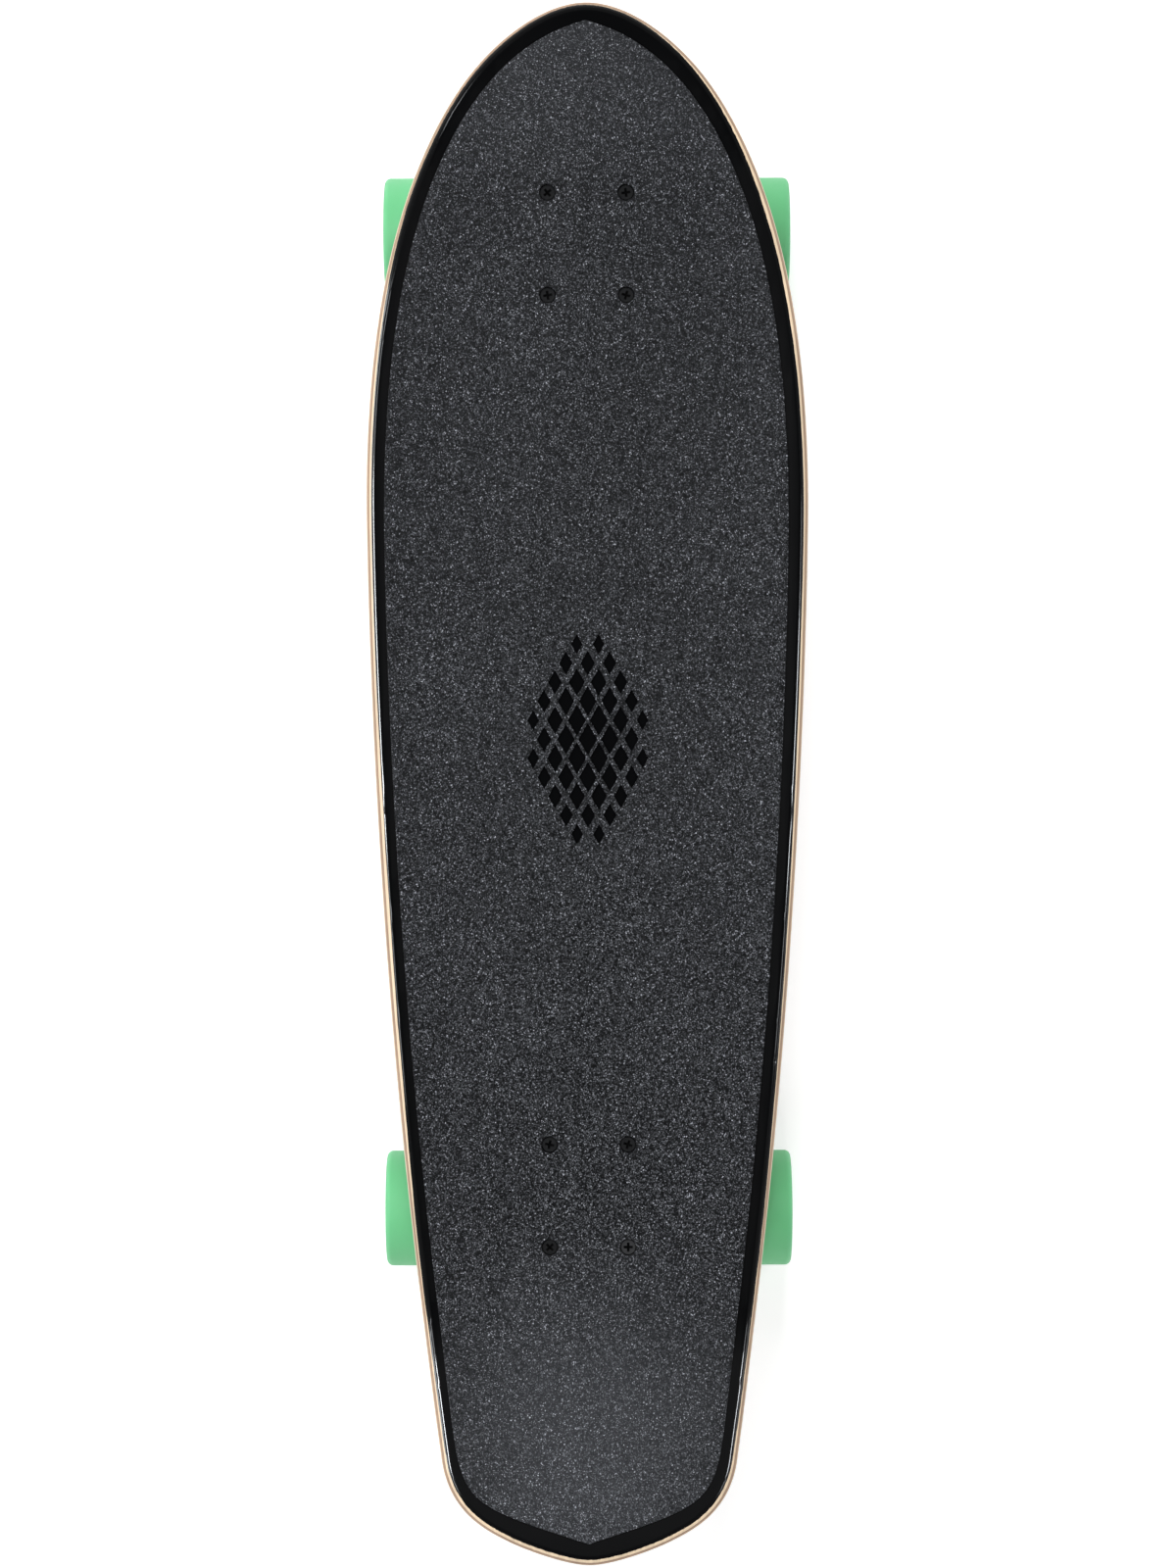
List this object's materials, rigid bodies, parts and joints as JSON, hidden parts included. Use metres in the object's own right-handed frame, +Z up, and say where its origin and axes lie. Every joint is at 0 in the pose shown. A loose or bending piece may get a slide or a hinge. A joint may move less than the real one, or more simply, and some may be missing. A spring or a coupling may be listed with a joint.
{
  "type": "skateboard",
  "caption": "Cruiser skateboard: kicked seven-ply maple deck with grip tape, on two leaning standard-kingpin trucks with soft urethane wheels.",
  "frame": {"origin": "middle of the board's length and width, on the floor under the wheels", "axes": "+X towards the nose, +Y to the rider's left facing the nose, +Z up"},
  "size_m": [0.815, 0.2324, 0.1295],
  "materials": {
    "maple_ply": "seven-ply maple, clear satin edge, gloss black top ply",
    "grip_sheet": "black abrasive grit sheet",
    "black_rubber": "moulded black rubber",
    "cast_alloy": "cast, tumbled and polished",
    "zinc_steel": "zinc plated steel",
    "black_steel": "black oxide steel",
    "bushing_urethane": "cast urethane, off-white",
    "wheel_urethane": "cast urethane, mint green, satin",
    "bearing_steel": "ground steel with pressed shields"
  },
  "bodies": {
    "board": {"deck": "maple_ply", "grip_tape": "grip_sheet", "front_riser_pad": "black_rubber", "front_baseplate": "cast_alloy", "front_pivot_cup": "black_rubber", "front_kingpin": "zinc_steel", "front_kingpin_nut": "zinc_steel", "front_top_washer": "zinc_steel", "front_bottom_washer": "zinc_steel", "front_top_bushing": "bushing_urethane", "front_bottom_bushing": "bushing_urethane", "front_mounting_bolt_1": "black_steel", "front_mounting_bolt_2": "black_steel", "front_mounting_bolt_3": "black_steel", "front_mounting_bolt_4": "black_steel", "front_mounting_nut_1": "black_steel", "front_mounting_nut_2": "black_steel", "front_mounting_nut_3": "black_steel", "front_mounting_nut_4": "black_steel", "rear_riser_pad": "black_rubber", "rear_baseplate": "cast_alloy", "rear_pivot_cup": "black_rubber", "rear_kingpin": "zinc_steel", "rear_kingpin_nut": "zinc_steel", "rear_top_washer": "zinc_steel", "rear_bottom_washer": "zinc_steel", "rear_top_bushing": "bushing_urethane", "rear_bottom_bushing": "bushing_urethane", "rear_mounting_bolt_1": "black_steel", "rear_mounting_bolt_2": "black_steel", "rear_mounting_bolt_3": "black_steel", "rear_mounting_bolt_4": "black_steel", "rear_mounting_nut_1": "black_steel", "rear_mounting_nut_2": "black_steel", "rear_mounting_nut_3": "black_steel", "rear_mounting_nut_4": "black_steel"},
    "front_hanger_assembly": {"front_hanger": "cast_alloy", "front_axle": "zinc_steel", "front_left_bearing_spacer": "zinc_steel", "front_left_axle_nut": "zinc_steel", "front_right_bearing_spacer": "zinc_steel", "front_right_axle_nut": "zinc_steel"},
    "rear_hanger_assembly": {"rear_hanger": "cast_alloy", "rear_axle": "zinc_steel", "rear_left_bearing_spacer": "zinc_steel", "rear_left_axle_nut": "zinc_steel", "rear_right_bearing_spacer": "zinc_steel", "rear_right_axle_nut": "zinc_steel"},
    "front_left_wheel_assembly": {"front_left_wheel": "wheel_urethane", "front_left_outer_bearing": "bearing_steel", "front_left_inner_bearing": "bearing_steel"},
    "front_right_wheel_assembly": {"front_right_wheel": "wheel_urethane", "front_right_outer_bearing": "bearing_steel", "front_right_inner_bearing": "bearing_steel"},
    "rear_left_wheel_assembly": {"rear_left_wheel": "wheel_urethane", "rear_left_outer_bearing": "bearing_steel", "rear_left_inner_bearing": "bearing_steel"},
    "rear_right_wheel_assembly": {"rear_right_wheel": "wheel_urethane", "rear_right_outer_bearing": "bearing_steel", "rear_right_inner_bearing": "bearing_steel"}
  },
  "joints": [
    {"name": "front_steer", "type": "hinge", "parent": "board", "child": "front_hanger_assembly", "pos_m": [0.3119, 0, 0.0675], "axis": [0.8737, 0, 0.4865], "range_deg": [-16, 16], "stiffness_Nm_per_rad": 60, "deforming": ["front_bottom_bushing", "front_top_bushing"]},
    {"name": "rear_steer", "type": "hinge", "parent": "board", "child": "rear_hanger_assembly", "pos_m": [-0.2485, 0, 0.0675], "axis": [-0.8737, 0, 0.4865], "range_deg": [-16, 16], "stiffness_Nm_per_rad": 60, "deforming": ["rear_bottom_bushing", "rear_top_bushing"]},
    {"name": "front_left_wheel_spin", "type": "hinge", "parent": "front_hanger_assembly", "child": "front_left_wheel_assembly", "pos_m": [0.2949, 0.087, 0.031], "axis": [0, 1, 0], "continuous": true},
    {"name": "front_right_wheel_spin", "type": "hinge", "parent": "front_hanger_assembly", "child": "front_right_wheel_assembly", "pos_m": [0.2949, -0.087, 0.031], "axis": [0, 1, 0], "continuous": true},
    {"name": "rear_left_wheel_spin", "type": "hinge", "parent": "rear_hanger_assembly", "child": "rear_left_wheel_assembly", "pos_m": [-0.2315, 0.087, 0.031], "axis": [0, 1, 0], "continuous": true},
    {"name": "rear_right_wheel_spin", "type": "hinge", "parent": "rear_hanger_assembly", "child": "rear_right_wheel_assembly", "pos_m": [-0.2315, -0.087, 0.031], "axis": [0, 1, 0], "continuous": true}
  ]
}
